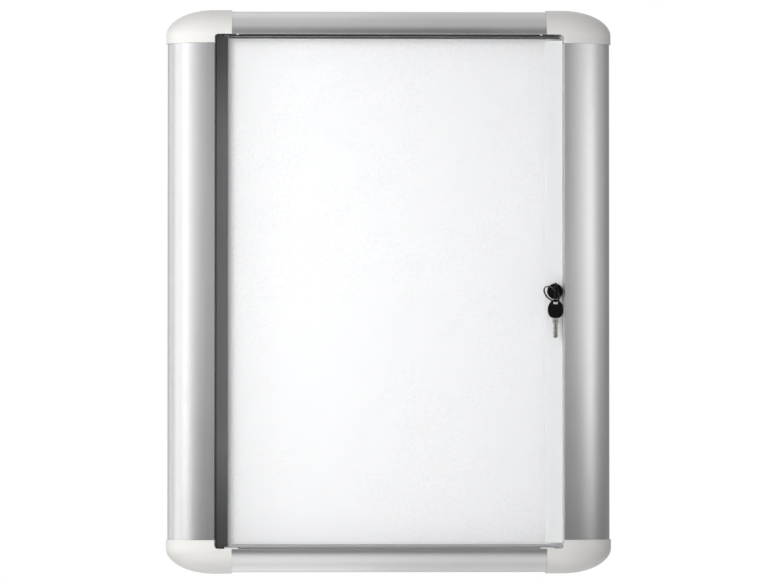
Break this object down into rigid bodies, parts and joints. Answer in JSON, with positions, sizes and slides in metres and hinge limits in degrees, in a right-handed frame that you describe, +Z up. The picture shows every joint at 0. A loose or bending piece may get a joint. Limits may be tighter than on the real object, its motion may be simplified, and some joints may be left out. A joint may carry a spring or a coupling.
{
  "type": "lockable notice board",
  "caption": "Wall-mounted lockable notice board: rounded silver frame, plastic corner caps, white board behind a side-hinged clear door with a cam lock and its keys.",
  "frame": {"origin": "centre of the board on the wall plane, midway between the four wall screw holes", "axes": "+Z up, +X to the right as seen from the front, +Y into the wall; the front faces -Y"},
  "size_m": [0.624, 0.0747, 0.79],
  "materials": {
    "frame_aluminium": "natural satin anodised extrusion",
    "cap_plastic": "moulded warm light grey plastic, fine texture",
    "zinc_steel": "bright zinc plated steel",
    "white_enamel": "white lacquered magnetic sheet steel",
    "core_board": "board core",
    "backing_sheet": "thin mill-finish sheet",
    "grey_rubber": "soft grey strip",
    "black_nylon": "black nylon",
    "hinge_plastic": "dark grey extruded plastic",
    "pin_steel": "ground steel",
    "clear_acrylic": "clear polished acrylic",
    "black_lacquer": "black lacquered die-cast zinc",
    "lock_brass": "blackened brass",
    "key_steel": "nickel plated, fine milling marks",
    "key_plastic": "black moulded plastic",
    "ring_steel": "bright nickel plated spring steel"
  },
  "bodies": {
    "case": {"left_post": "frame_aluminium", "right_post": "frame_aluminium", "top_rail": "frame_aluminium", "bottom_rail": "frame_aluminium", "corner_cap_top_left": "cap_plastic", "corner_cap_top_right": "cap_plastic", "corner_cap_bottom_left": "cap_plastic", "corner_cap_bottom_right": "cap_plastic", "corner_bracket_top_left": "zinc_steel", "corner_bracket_top_right": "zinc_steel", "corner_bracket_bottom_left": "zinc_steel", "corner_bracket_bottom_right": "zinc_steel", "bracket_screws": "zinc_steel", "cap_screws": "zinc_steel", "face_sheet": "white_enamel", "core_board": "core_board", "backing_sheet": "backing_sheet", "top_seal": "grey_rubber", "bottom_seal": "grey_rubber", "latch_seal": "grey_rubber", "hinge_bush_top": "black_nylon", "hinge_bush_bottom": "black_nylon", "strike_plate": "zinc_steel", "strike_screws": "zinc_steel"},
    "door": {"hinge_profile": "hinge_plastic", "hinge_pin_top": "pin_steel", "hinge_pin_bottom": "pin_steel", "pane_wedge": "grey_rubber", "door_pane": "clear_acrylic", "closing_strip": "clear_acrylic", "lock_gasket": "black_nylon", "lock_body": "black_lacquer", "lock_washer": "zinc_steel", "lock_nut": "zinc_steel"},
    "lock_barrel": {"lock_plug": "lock_brass", "lock_wafers": "lock_brass", "lock_cam": "zinc_steel", "cam_washer": "zinc_steel", "cam_screw": "zinc_steel"},
    "inserted_key": {"inserted_key_blade": "key_steel", "inserted_key_head": "key_plastic"},
    "ring": {"key_ring": "ring_steel"},
    "spare_key": {"spare_key_blade": "key_steel", "spare_key_head": "key_plastic"}
  },
  "joints": [
    {"name": "door_hinge", "type": "hinge", "parent": "case", "child": "door", "pos_m": [-0.236, -0.037, 0], "axis": [0, 0, -1], "range_deg": [0, 100]},
    {"name": "lock_turn", "type": "hinge", "parent": "door", "child": "lock_barrel", "pos_m": [0.2313, -0.03, 0], "axis": [0, 1, 0], "range_deg": [0, 90]},
    {"name": "key_withdrawal", "type": "slide", "parent": "lock_barrel", "child": "inserted_key", "axis": [0, -1, 0], "range_m": [0, 0.0205]},
    {"name": "ring_swing", "type": "hinge", "parent": "inserted_key", "child": "ring", "pos_m": [0.2313, -0.0705, 0], "axis": [-1, 0, 0], "range_deg": [0, 48]},
    {"name": "spare_key_swing", "type": "hinge", "parent": "ring", "child": "spare_key", "pos_m": [0.23129, -0.05438, -0.0145], "axis": [-0.6704, 0.742, 0], "range_deg": [-12, 12]}
  ]
}
